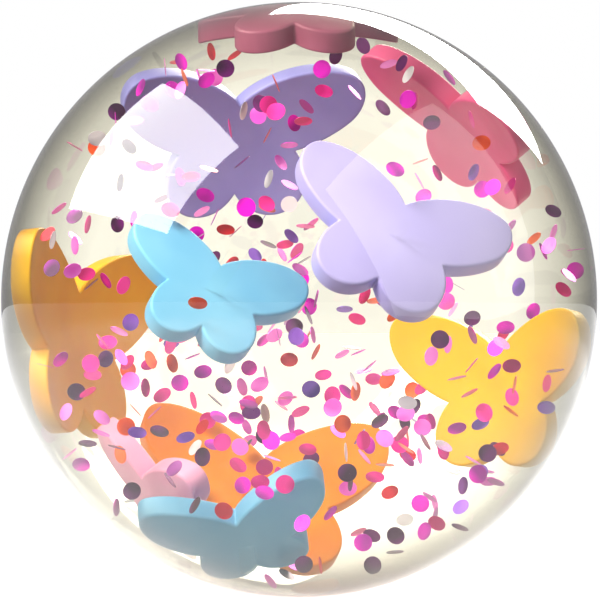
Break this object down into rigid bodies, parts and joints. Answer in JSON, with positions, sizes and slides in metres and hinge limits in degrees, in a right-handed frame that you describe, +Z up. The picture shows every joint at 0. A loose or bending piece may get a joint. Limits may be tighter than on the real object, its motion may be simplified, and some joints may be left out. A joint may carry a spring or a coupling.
{
  "type": "inflatable beach ball",
  "caption": "Clear inflatable ball with pastel foam butterflies held inside it by clear tabs, loose round confetti, and a sinking air valve with a hinged stopper.",
  "frame": {"origin": "middle of the ball", "axes": "+Z up as it rests, -Y the side seen from the front, the welded seam lies in the plane y = 0"},
  "size_m": [0.3312, 0.33, 0.3312],
  "materials": {
    "foam_blue": "satin",
    "foam_lilac": "satin",
    "foam_orange": "satin",
    "foam_lightpink": "satin",
    "foam_pink": "satin",
    "foam_rose": "satin",
    "foam_yellow": "satin",
    "foil_hot_pink": "gloss",
    "foil_magenta": "gloss",
    "foil_orange": "gloss",
    "foil_pale_pink": "gloss",
    "foil_plum": "gloss",
    "foil_red": "gloss",
    "foil_silver": "gloss",
    "foil_violet": "gloss",
    "clear_film": "gloss",
    "welded_seam": "gloss",
    "clear_tab": "gloss",
    "valve_vinyl": "satin",
    "valve_web": "satin"
  },
  "bodies": {
    "ball": {"butterfly_blue_front": "foam_blue", "butterfly_blue_lower": "foam_blue", "butterfly_lilac_front": "foam_lilac", "butterfly_lilac_upper": "foam_lilac", "butterfly_orange_lower": "foam_orange", "butterfly_pink_lower": "foam_lightpink", "butterfly_pink_upper": "foam_pink", "butterfly_rose_top": "foam_rose", "butterfly_yellow_left": "foam_yellow", "butterfly_yellow_right": "foam_yellow", "confetti_hot_pink": "foil_hot_pink", "confetti_magenta": "foil_magenta", "confetti_orange": "foil_orange", "confetti_pale_pink": "foil_pale_pink", "confetti_plum": "foil_plum", "confetti_red": "foil_red", "confetti_silver": "foil_silver", "confetti_violet": "foil_violet", "film_back": "clear_film", "film_front": "clear_film", "seam_bead": "welded_seam", "tab_blue_front": "clear_tab", "tab_blue_lower": "clear_tab", "tab_lilac_front": "clear_tab", "tab_lilac_upper": "clear_tab", "tab_orange_lower": "clear_tab", "tab_pink_lower": "clear_tab", "tab_pink_upper": "clear_tab", "tab_rose_top": "clear_tab", "tab_yellow_left": "clear_tab", "tab_yellow_right": "clear_tab", "valve_base": "valve_vinyl", "valve_web": "valve_web"},
    "valve_stem": {"valve_stem": "valve_vinyl"},
    "valve_stopper": {"valve_stopper": "valve_vinyl"},
    "valve_check_flap": {"valve_check_flap": "valve_vinyl"}
  },
  "joints": [
    {"name": "stem_slide", "type": "slide", "parent": "ball", "child": "valve_stem", "axis": [0.4064, 0.8917, 0.1994], "range_m": [0, 0.012], "deforming": ["valve_web"]},
    {"name": "stopper_hinge", "type": "hinge", "parent": "valve_stem", "child": "valve_stopper", "pos_m": [0.06694, 0.14689, 0.04019], "axis": [0.91, -0.4147, 0], "range_deg": [0, 140]},
    {"name": "check_flap_hinge", "type": "hinge", "parent": "valve_stem", "child": "valve_check_flap", "pos_m": [0.05972, 0.13105, 0.03399], "axis": [-0.91, 0.4147, 0], "range_deg": [0, 60], "stiffness_Nm_per_rad": 0.0002}
  ]
}
